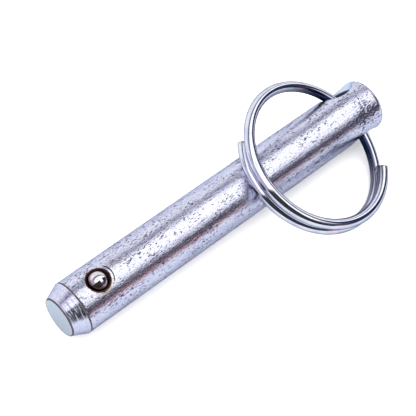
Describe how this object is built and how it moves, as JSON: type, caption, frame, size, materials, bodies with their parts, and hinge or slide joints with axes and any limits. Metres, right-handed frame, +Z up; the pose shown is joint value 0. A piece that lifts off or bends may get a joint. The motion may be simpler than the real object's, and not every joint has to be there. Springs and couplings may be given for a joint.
{
  "type": "hitch pin lock",
  "caption": "Straight steel hitch pin with a spring-loaded detent ball near its tapered nose and a split pull ring through a cross-hole in its head end.",
  "frame": {"origin": "on the shank's axis, midway between the detent ball and the place where the pull ring lies on the shank, 32 mm from the nose face", "axes": "-X along the shank out of its nose, +X towards the domed head, +Z up from the bench that the pin lies on"},
  "size_m": [0.093, 0.036, 0.0194],
  "materials": {
    "zinc_steel": "blue-white zinc plate over a drawn, lightly pitted shank",
    "ball_chrome": "polished bearing ball",
    "spring_steel": "plain spring wire",
    "ring_wire": "smooth bright zinc-plated spring wire"
  },
  "bodies": {
    "pin": {"pin_body": "zinc_steel", "ball_spring": "spring_steel"},
    "ball": {"detent_ball": "ball_chrome"},
    "ring": {"split_ring": "ring_wire"}
  },
  "joints": [
    {"name": "ball_press", "type": "slide", "parent": "pin", "child": "ball", "axis": [0, 0.1219, -0.9925], "range_m": [0, 0.0011], "stiffness_N_per_m": 2000, "springref_m": -0.003, "deforming": ["ball_spring"]},
    {"name": "ring_swing", "type": "hinge", "parent": "pin", "child": "ring", "pos_m": [0.054, 0, 0], "axis": [0, 0.809, 0.5878], "range_deg": [0, 327]}
  ]
}
